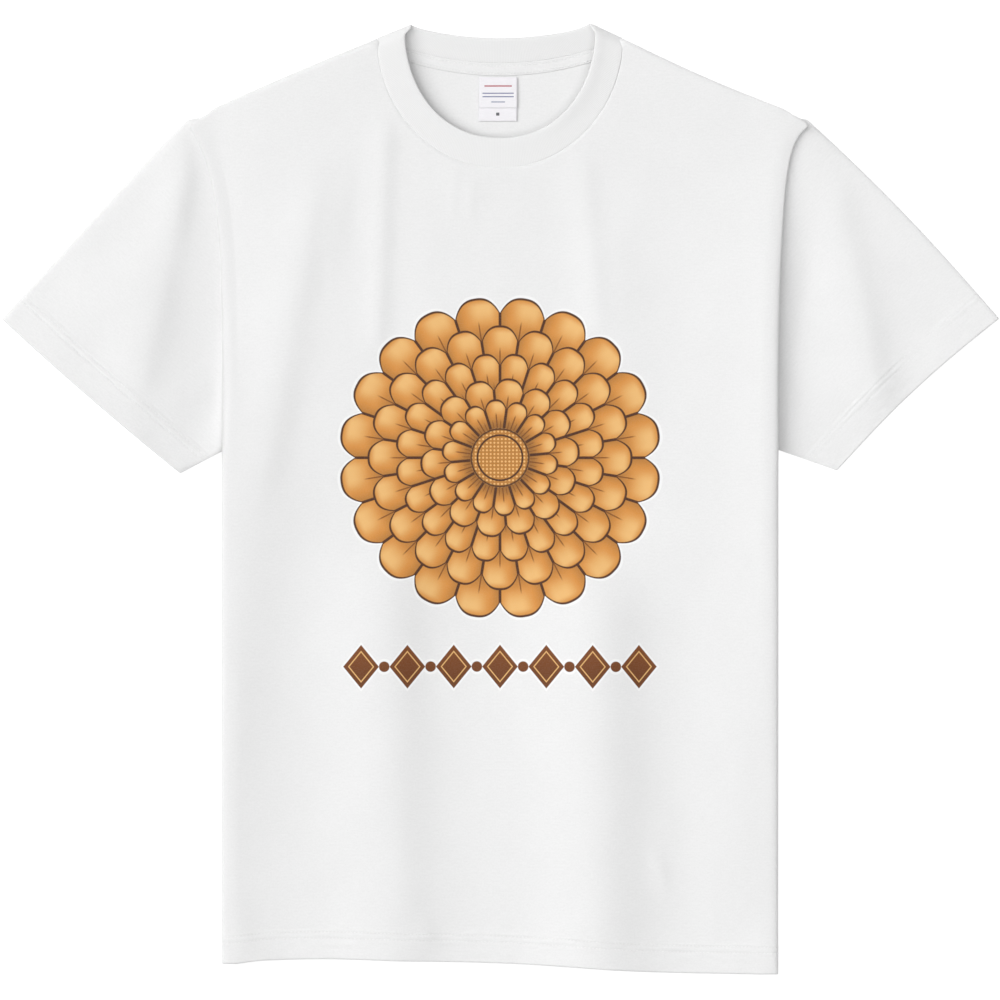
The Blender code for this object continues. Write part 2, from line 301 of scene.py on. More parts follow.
def ripple(x, y, size, seed):
    """Soft random unevenness from -1 to 1, in bumps of about that size."""
    lattice = np.random.default_rng(seed).uniform(-1, 1, (64, 64))
    x, y = x / size + 1000.0, y / size + 1000.0
    column, row = np.floor(x).astype(int), np.floor(y).astype(int)
    right, up = ease(0, 1, x - column), ease(0, 1, y - row)

    def corner(dx, dy):
        return lattice[(row + dy) % 64, (column + dx) % 64]

    return mix(mix(corner(0, 0), corner(1, 0), right), mix(corner(0, 1), corner(1, 1), right), up)


def hem_y(x):
    """The hem lifts a little left of the middle and hangs lower to the right."""
    corner = 2.6 * (1 - ease(-224, -188, x))
    return HEM_Y - HEM_DROP * ease(-60, 240, x) + 2.4 * bell(x + 140, 60) - 1.5 * bell(x - 110, 60) - corner


def side_x(side, y):
    """The rolled side: straight up from the hem, then out to the shoulder point."""
    flare = np.where(side < 0, *SHOULDER_X) - HALF_BODY
    t = np.maximum(0.0, (y - 80.0) / (SHOULDER_Y - 80.0))
    return side * (HALF_BODY + flare * np.where(side < 0, t**4.2, 0.45 * t**2.2 + 0.55 * t**12))


def neck_point(curve, angle, outward=0.0):
    """A point of the neckband's seam or edge: 180 to 360 degrees is the front, 0 to 180 the back."""
    c, s = np.cos(angle), np.sin(angle)
    half, drop = curve["half"] + outward, curve["drop"] + outward
    power = 2.0 / curve["power"]
    x = half * np.copysign(np.abs(c) ** power, c)
    front = curve["y"] - drop * np.abs(s) ** power
    back = curve["back_y"] - outward + curve["back_rise"] * (x / half) ** 2
    return x, np.where(s <= 0, front, back)


def patch(u, v, bottom, top, left, right, fade=6):
    """A point between four edges, with u and v from 0 to 1. A side's curve fades quickly away from it."""
    b, t, le, r = bottom(u), top(u), left(v), right(v)
    left_ends, right_ends = mix_points(left(0), left(1), v), mix_points(right(0), right(1), v)
    by_left, by_right = (1 - u) ** fade, u**fade
    return tuple(
        mix(b[i], t[i], v) + (le[i] - left_ends[i]) * by_left + (r[i] - right_ends[i]) * by_right
        for i in (0, 1)
    )


def panel_edges(inset, shoulder_inset, clear, neck_turn):
    """A flat panel's edges: bottom, top, left and right. The neck is a turn from side to side."""
    shoulder_y = SHOULDER_Y - shoulder_inset + inset * SHOULDER_SLOPE

    def bottom(u):
        x = mix(-(HALF_BODY - inset), HALF_BODY - inset, u)
        return x, hem_y(x)

    def side_edge(side):
        low = hem_y(side * (HALF_BODY - inset))

        def edge(v):
            y = mix(low, shoulder_y, v)
            return side_x(side, y) - side * inset, y

        return edge

    def top(u):
        t = np.clip((u - SHOULDER_SHARE) / (1 - 2 * SHOULDER_SHARE), 0, 1)
        neck = neck_point(NECK_SEAM, np.radians(mix(*neck_turn, t)), clear)
        x, y = neck
        for side, share in ((-1, u), (1, 1 - u)):
            end = side_x(side, shoulder_y) - side * inset, shoulder_y
            shoulder = bowed(neck, end, SHOULDER_BOW[side > 0] * side, 1 - share / SHOULDER_SHARE)
            x = np.where(share < SHOULDER_SHARE, shoulder[0], x)
            y = np.where(share < SHOULDER_SHARE, shoulder[1], y)
        return x, y

    return bottom, top, side_edge(-1), side_edge(1)


def panel_length(edges, u):
    """From a panel's hem to its neck or shoulder."""
    (x0, y0), (x1, y1) = (edge(np.clip(u, 0, 1)) for edge in edges[:2])
    return np.hypot(x1 - x0, y1 - y0)


PANEL_FADE = 14  # how quickly the curve of a panel's side fades away from it
FRONT_EDGES = panel_edges(ROLL, SHOULDER_ROLL, 0.25, (183, 357))
BACK_EDGES = panel_edges(ROLL - LAP, SHOULDER_ROLL - LAP + 1.0, 2 * GAP, (162, 18))


def body_height(x, y, unevenness):
    """Height of the front's outer face between its rolled edges."""
    out = np.minimum(1.0, np.abs(x) / HALF_BODY)
    right_rise = mix(0.4, 1.2, ease(-330, -60, y)) * (1 - 0.9 * ease(150, 300, y))
    rise = np.where(x < 0, out**5 * (1 - ease(0, 180, y)), out**4 * right_rise)
    high = LOFT_MIDDLE + (LOFT_SIDE - LOFT_MIDDLE) * rise - CHEST_FALL * ease(-80, 240, y)
    high = high - np.where(x < 0, ARMHOLE_FALL * out**9 * ease(40, 180, y), 0.0)
    high = high - LOFT_HEM_LOSS * (1.0 - ease(HEM_Y, HEM_Y + 140, y))
    near_neck = 1.0 - ease(0, 60, np.hypot(x, y - 330) - 100)
    folds = fold_height(BODY_FOLDS, x, y) * (1 - near_neck)
    folds += fold_height(SMALL_FOLDS, x, y, (-12, 18), (6, 20))
    folds += unevenness * (ripple(x, y / 1.6, 46, 3) + 0.4 * ripple(x, y, 19, 4))
    return mix(high, NECK_HEIGHT, near_neck) + folds


def tucked(x, y, high, share):
    """The neckline: a small step down, then in towards the middle of the neck."""
    inward = NECK_TUCK * share / np.hypot(x, y - NECK_SEAM["y"])
    low = high - NECK_STEP * ease(0, 0.08, share) - NECK_FALL * ease(0.08, 0.5, share)
    return np.stack((x - x * inward, y - (y - NECK_SEAM["y"]) * inward, low), -1)


def rolled(x, y, high, out, up):
    """The sides and shoulders: out is the share of the side's roll, and up the share of the shoulder's."""
    out, up = out * np.sqrt(1 - up * up / 2), up * np.sqrt(1 - out * out / 2)
    share = np.maximum(np.hypot(out, up), 1e-9)
    near_shoulder = ease(UNDERARM_Y + 90, SHOULDER_Y - 10, y)
    side = np.where(x < 0, -1, 1)
    radius = mix(ROLL, ROLL * 0.55, near_shoulder)
    over_sleeve = np.where(x < 0, *TURN_OVER_SLEEVE)
    side_turn = mix(TURN_UNDER, over_sleeve, ease(UNDERARM_Y - 16, UNDERARM_Y, y))
    side_turn = mix(side_turn, np.minimum(over_sleeve, TURN_AT_SHOULDER), near_shoulder)
    ends = np.maximum(1 - ease(108, 140, np.abs(x)), ease(0.93, 0.99, np.abs(x / side_x(side, y))))
    end = np.radians(mix(side_turn, mix(TURN_UNDER, TURN_AT_SHOULDER, ends), (up / share) ** 2))
    above_sleeve = ease(UNDERARM_Y - 14, UNDERARM_Y - 2, y) * ease(188, 204, np.abs(x))
    low = mix(CLOTH + GAP, np.where(x < 0, SLEEVE_ROOT[0], SLEEVE_ROOT[1] + GAP), above_sleeve)
    turn = end * share
    left_power = mix(ROLL_SQUARENESS, ARMHOLE_SQUARENESS, ease(UNDERARM_Y, UNDERARM_Y + 60, y))
    power = np.where(x < 0, left_power, ROLL_SQUARENESS)
    reach = np.abs(np.sin(turn)) ** power
    fall = (1 - signed_power(np.cos(turn), power)) / (1 - signed_power(np.cos(end), power))
    z = low + (high - low) * (1 - fall)
    near_collar = up * bell(np.abs(x) - NECK_SEAM["half"], 8)
    y = y + COLLAR_PULL[1] * near_collar
    shift = (ROLL - radius) * np.minimum(1.0, out * 2) - COLLAR_PULL[0] * near_collar
    x = x + side * (reach * radius * out / share + shift)
    y = y + SHOULDER_ROLL * np.sin(turn) * up / share
    y = y - CORNER_TRIM * ease(226, 254, np.abs(x)) * ease(SHOULDER_Y - 50, SHOULDER_Y, y)
    return np.stack((x, y, z), -1)


def front_surface(unevenness):
    """The front's outer face: flat where u and v are 0 to 1, with the rolls and neckline beyond."""

    def surface(u, v):
        flat_u, flat_v = np.clip(u, 0, 1), np.minimum(v, 1)
        x, y = patch(flat_u, flat_v, *FRONT_EDGES, PANEL_FADE)
        high = body_height(x, y, unevenness)
        out, up = np.abs(u - flat_u), v - flat_v
        middle = np.minimum(flat_u, 1 - flat_u)
        at_neck = ease(SHOULDER_SHARE, SHOULDER_SHARE + 0.014, middle)
        return mix(rolled(x, y, high, out, up), tucked(x, y, high, up), at_neck[..., None])

    return surface


def back_surface(u, v):
    """The back panel's inner face, flat on the floor but for its turned-up hem."""
    x, y = patch(u, v, *BACK_EDGES, PANEL_FADE)
    hem = (1 - ease(22.5, 24.5, y - hem_y(x))) * (1 - ease(186, 198, np.abs(x)))
    return np.stack((x, y, CLOTH + 0.5 * hem), -1)


def sleeve_surface(side, unevenness):
    """A sleeve's outer face: u from 0 to 1 goes round it, and v from 0 to 1 from the body to the cuff."""
    i = int(side > 0)
    shoulder = side * SHOULDER_X[i], SHOULDER_Y
    cuff_top = side * CUFF_TOP[i][0], CUFF_TOP[i][1]
    cuff_low = side * CUFF_CORNER[i][0], CUFF_CORNER[i][1]

    def root(t):
        y = mix(SHOULDER_Y + 1.0, UNDERARM_Y + 2.0, t)
        return side_x(side, y) - side * ARMHOLE_TUCK, y

    def cuff(t):
        return bowed(cuff_top, cuff_low, CUFF_BOW[i], t)

    def upper(s):
        inside = mix_points(root(0), shoulder, s / ROOT_SHARE)
        along = np.clip((s - ROOT_SHARE) / (1 - ROOT_SHARE), 0, 1)
        outside = bowed(shoulder, cuff_top, SLEEVE_BOW[i] * side, along)
        bulge = SHOULDER_BULGE[i] * np.sin(np.pi * along**0.45)
        outside = outside[0] + side * 0.7 * bulge, outside[1] + 0.7 * bulge
        return tuple(np.where(s < ROOT_SHARE, a, b) for a, b in zip(inside, outside))

    def lower(s):
        return mix_points(root(1), cuff_low, s)

    def surface(u, v):
        turn = 2 * np.pi * u * side
        t = 0.5 - 0.5 * np.cos(turn)
        x, y = patch(t, v, root, cuff, upper, lower)
        across = np.sqrt(np.maximum(0, 1 - np.abs(2 * t - 1) ** mix(50, 14, t)))
        away = ease(0, 0.24, v) if i else ease(0.05, 0.7, v) * ease(0, 0.3, t) * (1 - ease(0.7, 1, t))
        loft = mix(SLEEVE_ROOT[i], SLEEVE_LOFT[i], away)
        high = loft + fold_height(SLEEVE_FOLDS[i], x, y) * ease(0.02, 0.14, v)
        high = high + unevenness * ripple(x, y, 30, 8 + i) * ease(0.1, 0.3, v)
        top = SLEEVE_EDGE + (high - SLEEVE_EDGE) * across
        z = np.where(np.sin(turn) < 0, SLEEVE_EDGE * (1 - across), top)
        return np.stack((x, y, z), -1)

    def length(u):
        """From the body to the cuff."""
        t = 0.5 - 0.5 * np.cos(2 * np.pi * u)
        start, end = root(t), cuff(t)
        return np.hypot(end[0] - start[0], end[1] - start[1])

    return surface, length


def band_surface(u, v):
    """The neckband's outer face: u from 0 to 1 goes round, and v from the seam to the free edge."""
    angle = 2 * np.pi * u
    x, y = mix_points(neck_point(NECK_SEAM, angle), neck_point(NECK_EDGE, angle), v)
    left, rise = np.cos(angle) < 0, np.sin(angle)
    peak = v * np.where(rise < 0, bell(rise, np.where(left, *PEAK_LENGTH)), 1 - ease(0, 0.8, rise))
    x = x + peak * np.where(left, PEAK_IN[0], -PEAK_IN[1])
    y = y + peak * np.where(left, *PEAK_UP)
    front = 0.5 - 0.5 * np.tanh(rise / 0.05)
    z = mix(mix(*BACK_BAND, v), mix(*FRONT_BAND, v), front)
    ridge = BAND_RIDGE * bell(v - 0.95, 0.3) * ease(0.1, 0.8, np.cos(angle)) * front
    return np.stack((x, y, z + ridge), -1)


def tape_surface(u, v):
    """The neck tape's outer face, along the back neck seam."""
    x = mix(-TAPE_HALF, TAPE_HALF, u)
    seam = NECK_SEAM["back_y"] + NECK_SEAM["back_rise"] * (x / NECK_SEAM["half"]) ** 2
    return np.stack((x, seam + 0.4 - TAPE_WIDTH * (1 - v), mix(*TAPE_HEIGHT, v)), -1)


def label_surface(sizes):
    """A label's outer face. It hangs from its top edge and rises a little towards its lower one."""

    def surface(u, v):
        x = sizes["x"] + (u - 0.5) * sizes["width"]
        y = sizes["top"] - sizes["height"] * (1 - v)
        return np.stack((x, y, sizes["z"] + sizes["lift"] * ease(0, 0.6, 1 - v)), -1)

    return surface


def below(surface, u, v, depth):
    """Points at a depth under a surface's outer face."""
    step = 1e-4
    along = surface(u + step, v) - surface(u - step, v)
    up = surface(u, v + step) - surface(u, v - step)
    normal = np.cross(along, up)
    normal /= np.maximum(np.linalg.norm(normal, axis=-1, keepdims=True), 1e-12)
    return surface(u, v) - np.asarray(depth)[..., None] * normal


def hem_rows(width, turn):
    """Rows of a turned-up hem, from its inner end: distance from the edge, and depth under the face."""
    inner = [(d, 2 * turn) for d in np.linspace(width, turn, 9)]
    bend = [(turn * (1 - math.sin(a)), turn * (1 - math.cos(a))) for a in np.radians((150, 120, 90, 60, 30))]
    outer = [(d, 0.0) for d in np.arange(turn, width + 3, 0.6)]
    return np.array(inner + bend + outer)


def hem_relief(distance, depth, rows, width):
    """How far the doubled cloth stands proud, less the grooves that the stitching pulls in."""
    proud = 0.45 * (1 - ease(width - 1.5, width + 0.8, distance))
    for row in rows:
        proud = proud - HEM_GROOVE * bell(distance - row, 0.8)
    return np.where(depth > 0, 0.0, proud)


def arc_lengths(line):
    """How far each point of a line is along it."""
    return np.concatenate(([0], np.cumsum(np.linalg.norm(np.diff(line, axis=0), axis=-1))))


# ---- Meshes ----


def collection():
    found = bpy.data.collections.get("T-shirt")
    if found is None:
        found = bpy.data.collections.new("T-shirt")
        bpy.context.scene.collection.children.link(found)
    return found


def grid_piece(name, points, chart, thickness=None, inner_material=0, capped=False):
    """An object from a grid of points in millimetres, with its cloth map. Edges that meet are joined."""
    rows, columns = points.shape[:2]
    at = np.arange(rows * columns).reshape(rows, columns)
    faces = np.stack((at[:-1, :-1], at[:-1, 1:], at[1:, 1:], at[1:, :-1]), -1).reshape(-1, 4)
    mesh = bpy.data.meshes.new(name)
    mesh.from_pydata((points.reshape(-1, 3) * MM).tolist(), [], faces.tolist())
    layer = mesh.uv_layers.new(name=CLOTH_MAP)
    layer.uv.foreach_set("vector", (chart.reshape(-1, 2)[faces.ravel()] * MM).astype(np.float32).ravel())
    work = bmesh.new()
    work.from_mesh(mesh)
    bmesh.ops.remove_doubles(work, verts=work.verts, dist=0.002 * MM)
    if capped:
        bmesh.ops.holes_fill(work, edges=[edge for edge in work.edges if edge.is_boundary], sides=0)
    work.to_mesh(mesh)
    work.free()
    mesh.shade_smooth()
    piece = bpy.data.objects.new(name, mesh)
    collection().objects.link(piece)
    if thickness:
        cloth = piece.modifiers.new("Cloth thickness", "SOLIDIFY")
        cloth.thickness = thickness * MM
        cloth.offset = -1.0
        cloth.use_even_offset = False
        cloth.material_offset = inner_material
    return piece


def strip_profile(thickness, soft, cells, far_soft=None):
    """Rows round a flat strip with rounded edges: share of the width, and depth under the face."""
    half = thickness / 2
    far_soft = far_soft or soft
    face = np.linspace(2 * soft, 1 - 2 * far_soft, cells)
    turn = ((1.0, 0.12), (0.55, 0.27), (0.25, 0.5), (0.0, 1.0), (0.25, 1.5), (0.55, 1.73), (1.0, 1.88))
    edge = [(share * soft, depth * half) for share, depth in turn]
    far = [(1 - share * far_soft, depth * half) for share, depth in turn]
    rows = [(share, 0.0) for share in face] + far + [(share, thickness) for share in face[::-1]] + edge[::-1]
    return np.array(rows + rows[:1])


def spread(profile, u):
    """Columns, rows and depths of a strip's grid, from the profile round it and the places along it."""
    columns = u[None] + 0 * profile[:, :1]
    return columns, profile[:, :1] + 0 * columns, profile[:, 1:] + 0 * columns


def dress(piece, materials, replaced):
    """Gives a finished cloth its materials and its body, and hides the solid that it stands for."""
    for material in materials:
        piece.data.materials.append(bpy.data.materials[material])
    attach(piece, "root")
    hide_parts(replaced)


# ---- Materials ----


class Term:
    """A number in a material, for writing shader maths as plain expressions."""

    def __init__(self, recipe, socket):
        self.recipe, self.socket = recipe, socket

    def maths(self, operation, *values):
        return self.recipe.add("ShaderNodeMath", {"operation": operation}, dict(enumerate(values)))

    def __add__(self, other):
        return self.maths("ADD", self, other)

    def __sub__(self, other):
        return self.maths("SUBTRACT", self, other)

    def __rsub__(self, other):
        return self.maths("SUBTRACT", other, self)

    def __mul__(self, other):
        return self.maths("MULTIPLY", self, other)

    def __pow__(self, other):
        return self.maths("POWER", self, other)

    def __abs__(self):
        return self.maths("ABSOLUTE", self)

    __radd__ = __add__
    __rmul__ = __mul__

    def sine(self):
        return self.maths("SINE", self)

    def root(self):
        return self.maths("SQRT", self)

    def part(self):
        """What is left after the whole number below."""
        return self.maths("FRACT", self)

    def turn_from(self, x):
        """The angle of (x, self), in radians."""
        return self.maths("ARCTAN2", self, x)

    def least(self, other):
        return self.maths("MINIMUM", self, other)

    def most(self, other):
        return self.maths("MAXIMUM", self, other)

    def ramp(self, low, high, start=0.0, end=1.0):
        """Smoothly from start at low to end at high."""
        settings = {"interpolation_type": "SMOOTHSTEP"}
        return self.recipe.add("ShaderNodeMapRange", settings, {0: self, 1: low, 2: high, 3: start, 4: end})


class Recipe:
    """A material made of nodes."""

    def __init__(self, name):
        self.material = bpy.data.materials.new(name)
        self.material.use_nodes = True
        self.tree = self.material.node_tree
        self.shader = self.tree.nodes["Principled BSDF"]

    def add(self, kind, settings=None, sockets=None, output=0):
        """Adds any node: its settings first, then the values or links of its sockets."""
        node = self.tree.nodes.new(kind)
        for key, value in (settings or {}).items():
            setattr(node, key, value)
        for key, value in (sockets or {}).items():
            if isinstance(value, Term):
                self.tree.links.new(value.socket, node.inputs[key])
            else:
                node.inputs[key].default_value = value
        return Term(self, node.outputs[output])

    def blend(self, a, b, factor):
        """Colour a where factor is 0 and b where it is 1."""
        return self.add("ShaderNodeMix", {"data_type": "RGBA"}, {0: factor, 6: a, 7: b}, output=2)

    def stretched(self, place, scale):
        return self.add("ShaderNodeVectorMath", {"operation": "MULTIPLY"}, {0: place, 1: scale})

    def noise(self, place, scale, detail=2.0, roughness=0.5):
        sockets = {"Vector": place, "Scale": scale, "Detail": detail, "Roughness": roughness}
        return self.add("ShaderNodeTexNoise", {}, sockets)

    def bump(self, height, distance=MM):
        return self.add("ShaderNodeBump", {}, {"Height": height, "Distance": distance})

    def cloth_place(self):
        """The place on the cloth map in metres, and its two parts in millimetres."""
        place = self.add("ShaderNodeUVMap", {"uv_map": CLOTH_MAP})
        parts = (self.add("ShaderNodeSeparateXYZ", {}, {0: place}, part) * 1000.0 for part in (0, 1))
        return place, *parts

    def finish(self, **values):
        """Sets the shader's own sockets, by name with spaces as underscores."""
        for key, value in values.items():
            socket = self.shader.inputs[key.replace("_", " ")]
            if isinstance(value, Term):
                self.tree.links.new(value.socket, socket)
            else:
                socket.default_value = value


def shade(colour, factor):
    return (*(channel * factor for channel in colour), 1.0)


def knit(recipe, wale=0.78, course=0.6):
    """Jersey's face: its place on the cloth map, its tone from 0 to 1, and its height in millimetres."""
    place, across, along = recipe.cloth_place()
    in_wale = abs((across * (1 / wale)).part() - 0.5)
    loops = ((along * (1 / course) + in_wale * 1.3) * (2 * math.pi)).sine()
    furrow = (in_wale * 2.0) ** 2.0
    speckle = recipe.noise(place, 620.0, 3.0, 0.6)
    slubs = recipe.noise(recipe.stretched(place, (170.0, 620.0, 1.0)), 1.0, 2.0, 0.55)
    clouds = recipe.noise(place, 22.0, 2.0, 0.5)
    tone = speckle * 0.54 + slubs * 0.3 + clouds * 0.16
    height = loops * 0.02 - furrow * 0.03 + speckle * 0.07 + slubs * 0.02
    return place, across, along, tone, height


def jersey_colour(recipe, colour, tone):
    return recipe.blend(shade(colour, 0.965), shade(colour, 1.025), tone.ramp(0.3, 0.7))


def make_jersey(name, colour):
    recipe = Recipe(name)
    *_, tone, height = knit(recipe)
    recipe.finish(
        Base_Color=jersey_colour(recipe, colour, tone),
        Roughness=tone.ramp(0.2, 0.8, 0.94, 0.86),
        Normal=recipe.bump(height),
        **COTTON,
    )


def rosette(recipe, x, y, sizes, colours):
    """Rings of gold petals with dark outlines: colour, mask and millimetres inside the border."""
    outline, scale = sizes.outline / MM, sizes.radius / MM / PETAL_RINGS[0][1]
    radius = (x * x + y * y).root() * (1 / scale)
    turn = y.turn_from(x) * (1 / (2 * math.pi))
    gold, light = colours.gold, colours.light
    colour = dark = shade(colours.outline, 1.0)
    mask = border = None
    for petals, tip, root, bulge, shift in PETAL_RINGS:
        share = (turn * petals + shift).part() - 0.5
        from_middle = abs(share)
        step = radius * (2 * math.pi / petals)
        to_side = (0.5 - from_middle) * step
        inside = (tip - bulge * (from_middle * 2.0) ** 2.6) - radius
        petal = inside.ramp(-0.3, 0.3)
        rise = (radius - root) * (1 / (tip - root))
        body = recipe.blend(shade(gold, 0.5), shade(gold, 1.0), rise.ramp(0.15, 0.62))
        gleam = rise.ramp(0.45, 0.8) * (1 - rise.ramp(0.84, 0.97))
        gleam = gleam * (share + 0.1).ramp(-0.42, -0.14) * (1 - share.ramp(-0.05, 0.3))
        lee = share.ramp(0.22, 0.5) * 0.55
        vein = (1 - (from_middle * step).ramp(0.25, 0.75)) * (1 - rise.ramp(0.5, 0.62)) * 0.8
        to_side_vein = abs((from_middle - 0.24) * step)
        side_veins = (1 - to_side_vein.ramp(0.15, 0.55)) * (1 - rise.ramp(0.3, 0.42)) * 0.65
        for tint, factor in (
            (shade(light, 1.0), gleam),
            (shade(gold, 0.48), lee),
            (shade(colours.brown, 0.9), vein),
            (shade(colours.brown, 1.0), side_veins),
        ):
            body = recipe.blend(body, tint, factor)
        line = 1 - inside.least(to_side * 1.6).ramp(outline * 0.75, outline * 1.35)
        colour = recipe.blend(colour, recipe.blend(body, dark, line), petal)
        if mask is None:
            mask, border = petal, inside
    heart = 1 - radius.ramp(HEART + 0.6, HEART + 1.2)
    dots = ((x + y) * 1.05).sine() * ((x - y) * 1.05).sine()
    centre = recipe.blend(shade(gold, 0.72), shade(light, 1.0), dots.ramp(0.15, 0.6))
    centre = recipe.blend(centre, dark, 1 - abs(radius - HEART_RING).ramp(0.5, 1.0))
    centre = recipe.blend(centre, dark, abs(radius - HEART).ramp(outline, 0.0) * radius.ramp(20.0, 21.5))
    return recipe.blend(colour, centre, heart), mask, border


def make_printed_jersey(name, colours, sizes):
    """Jersey with the ornament printed on its outer face."""
    recipe = Recipe(name)
    place, x, y, tone, height = knit(recipe)
    cloth = jersey_colour(recipe, colours.jersey, tone)
    flower, flower_mask, border = rosette(recipe, x, y - sizes.middle / MM, sizes, colours)
    share = (x * (1 / LOZENGE_PITCH) + 0.5).part() - 0.5
    row = y - sizes.lozenge_row / MM
    in_row = 1 - abs(x).ramp(LOZENGE_ROW_END - 0.1, LOZENGE_ROW_END + 0.1)
    lozenge = LOZENGE - (abs(share) * LOZENGE_PITCH * 1.05 + abs(row) * 0.86)
    dot = DOT - ((abs(share) - 0.5) ** 2.0 * LOZENGE_PITCH**2 + row * row).root()
    past_end = abs(x).ramp(118.0, 119.0)
    mark = lozenge.most(dot - past_end * 20.0)
    mark_mask = mark.ramp(-0.3, 0.3) * in_row
    brown = colours.brown
    mark_colour = recipe.blend(shade(brown, 1.1), shade(brown, 0.85), row.ramp(12.0, -12.0))
    inlay = 1 - abs(lozenge - LOZENGE_INLAY).ramp(0.35, 0.85)
    mark_colour = recipe.blend(mark_colour, shade(colours.light, 0.9), inlay)
    ground = border.ramp(-2.6, -1.9).most(mark.ramp(-2.4, -1.8) * in_row)
    colour = recipe.blend(cloth, shade(colours.ground, 1.0), ground * 0.8)
    colour = recipe.blend(colour, mark_colour, mark_mask)
    colour = recipe.blend(colour, flower, flower_mask)
    worn = recipe.noise(place, 900.0, 2.0, 0.6).ramp(0.35, 0.75)
    inked = flower_mask.most(mark_mask)
    recipe.finish(
        Base_Color=recipe.blend(colour, cloth, worn * inked * 0.03),
        Roughness=tone.ramp(0.2, 0.8, 0.94, 0.86) - inked * 0.22,
        Normal=recipe.bump(height * (1 - inked * 0.35)),
        **COTTON,
    )


def make_rib(name, colour, pitch=1.25):
    """One-and-one rib: fine ridges across the neckband, with painted shade between them."""
    recipe = Recipe(name)
    place, across, along, tone, _ = knit(recipe)
    wander = recipe.noise(place, 60.0, 1.0, 0.5) * 0.5
    ridge = (across * (2 * math.pi / pitch) + wander).sine() * 0.5 + 0.5
    loops = (along * (2 * math.pi / 0.7)).sine()
    # Painted shade: the colour is darker between the ridges, where the rib's furrows lie in shade, mixed
    # with the knit's random tone
    rib_shade_and_tone = ridge.ramp(0.0, 0.8) * 0.7 + tone * 0.3
    recipe.finish(
        Base_Color=recipe.blend(shade(colour, 0.965), shade(colour, 1.03), rib_shade_and_tone),
        Roughness=tone.ramp(0.2, 0.8, 0.95, 0.87),
        Normal=recipe.bump(ridge * 0.07 + loops * 0.015 + tone * 0.09),
        **COTTON,
    )


def make_thread(name, colour):
    """Twisted sewing thread, a little shinier than the cloth."""
    recipe = Recipe(name)
    place = recipe.add("ShaderNodeTexCoord", output=3)
    twist = recipe.noise(place, 2600.0, 1.0, 0.5)
    recipe.finish(
        Base_Color=recipe.blend(shade(colour, 0.94), shade(colour, 1.08), twist.ramp(0.35, 0.65)),
        Roughness=twist.ramp(0.3, 0.7, 0.62, 0.75),
        Normal=recipe.bump(twist, 0.1 * MM),
        Sheen_Weight=0.1,
    )


def make_woven(name, colour, bars):
    """Satin label tape with a few thin coloured bars across it."""
    recipe = Recipe(name)
    place, x, y = recipe.cloth_place()
    threads = (y * (2 * math.pi / 0.32)).sine() * 0.5 + (x * (2 * math.pi / 0.5)).sine() * 0.3
    tone = recipe.noise(recipe.stretched(place, (200.0, 1400.0, 1.0)), 1.0, 2.0, 0.5)
    face = recipe.blend(shade(colour, 0.98), shade(colour, 1.02), tone.ramp(0.3, 0.7))
    for middle, half, reach, bar in bars:
        high, wide = abs(y - middle), abs(x)
        inside = (1 - high.ramp(half - 0.1, half + 0.1)) * (1 - wide.ramp(reach - 0.1, reach + 0.1))
        face = recipe.blend(face, (*bar, 1.0), inside * 0.9)
    recipe.finish(
        Base_Color=face,
        Roughness=tone.ramp(0.2, 0.8, 0.6, 0.48),
        Normal=recipe.bump(threads * 0.04 + tone * 0.05),
        Specular_IOR_Level=0.4,
    )


# ---- Operators ----


class SHIRT_OT_finishes(bpy.types.Operator):
    """Makes the materials of the jersey, the rib, the thread and the labels"""

    bl_idname = "shirt.finishes"
    bl_label = "Finishes"

    def execute(self, context):
        colours, sizes = context.scene.shirt_colours, context.scene.shirt_print
        make_jersey("White jersey", colours.jersey)
        make_printed_jersey("Printed jersey", colours, sizes)
        make_rib("White rib", colours.rib)
        make_thread("White thread", colours.thread)
        make_woven("Woven label", colours.label, LABEL_BARS)
        make_woven("Woven size label", colours.label, SIZE_LABEL_BARS)
        return {"FINISHED"}


class SHIRT_OT_front(bpy.types.Operator):
    """Lays the front panel, its rolled sides, its neckline and its turned-up hem"""

    bl_idname = "shirt.front"
    bl_label = "Front"

    def execute(self, context):
        sizes = context.scene.shirt_cloth
        cell, width, turn = sizes.cell / MM, sizes.hem_width / MM, sizes.turn / MM
        surface = front_surface(sizes.unevenness / MM)
        roll = np.linspace(0, 1, 14)[1:] ** 1.35
        across = np.linspace(0, 1, round(2 * (HALF_BODY - ROLL) / cell) + 1)
        u = np.concatenate((-roll[::-1], across, 1 + roll))
        hem = hem_rows(width, turn)
        rest = np.linspace(0, 1, round(640 / cell))[1:, None]
        tops = 1 + np.linspace(0, 1, 13)[1:]
        length = panel_length(FRONT_EDGES, u)
        above_hem = mix(hem[-1, 0] / length, 1, rest)
        v = np.concatenate((hem[:, :1] / length, above_hem, np.repeat(tops[:, None], len(u), 1)))
        distance = v * length
        depth = np.concatenate((hem[:, 1], np.zeros(len(rest) + len(tops))))[:, None] + 0 * v
        columns = u[None] + 0 * v
        on_roll = np.abs(columns - np.clip(columns, 0, 1))
        proud = hem_relief(distance, depth, HEM_ROWS, width)
        puckers = sizes.pucker / MM * ripple(columns * 420, distance * 2.2, 9, 5)
        puckers = puckers * (1 - ease(24, 34, distance))
        flat = surface(columns, v)
        relief = (proud + puckers) * ease(3, 8, flat[..., 2]) * (1 - ease(0.2, 0.5, on_roll))
        points = below(surface, columns, v, depth - relief)
        chart = np.stack((flat[..., 0], flat[..., 1]), -1)
        chart[..., 0] += np.where(columns < 0, -1, 1) * on_roll * ROLL_CLOTH
        chart[..., 1] -= 2 * np.where(depth > 0, distance, 0)
        front = grid_piece("shirt_front", points, chart, sizes.thickness / MM, 1)
        dress(front, ("Printed jersey", "White jersey"), "body_front")
        return {"FINISHED"}


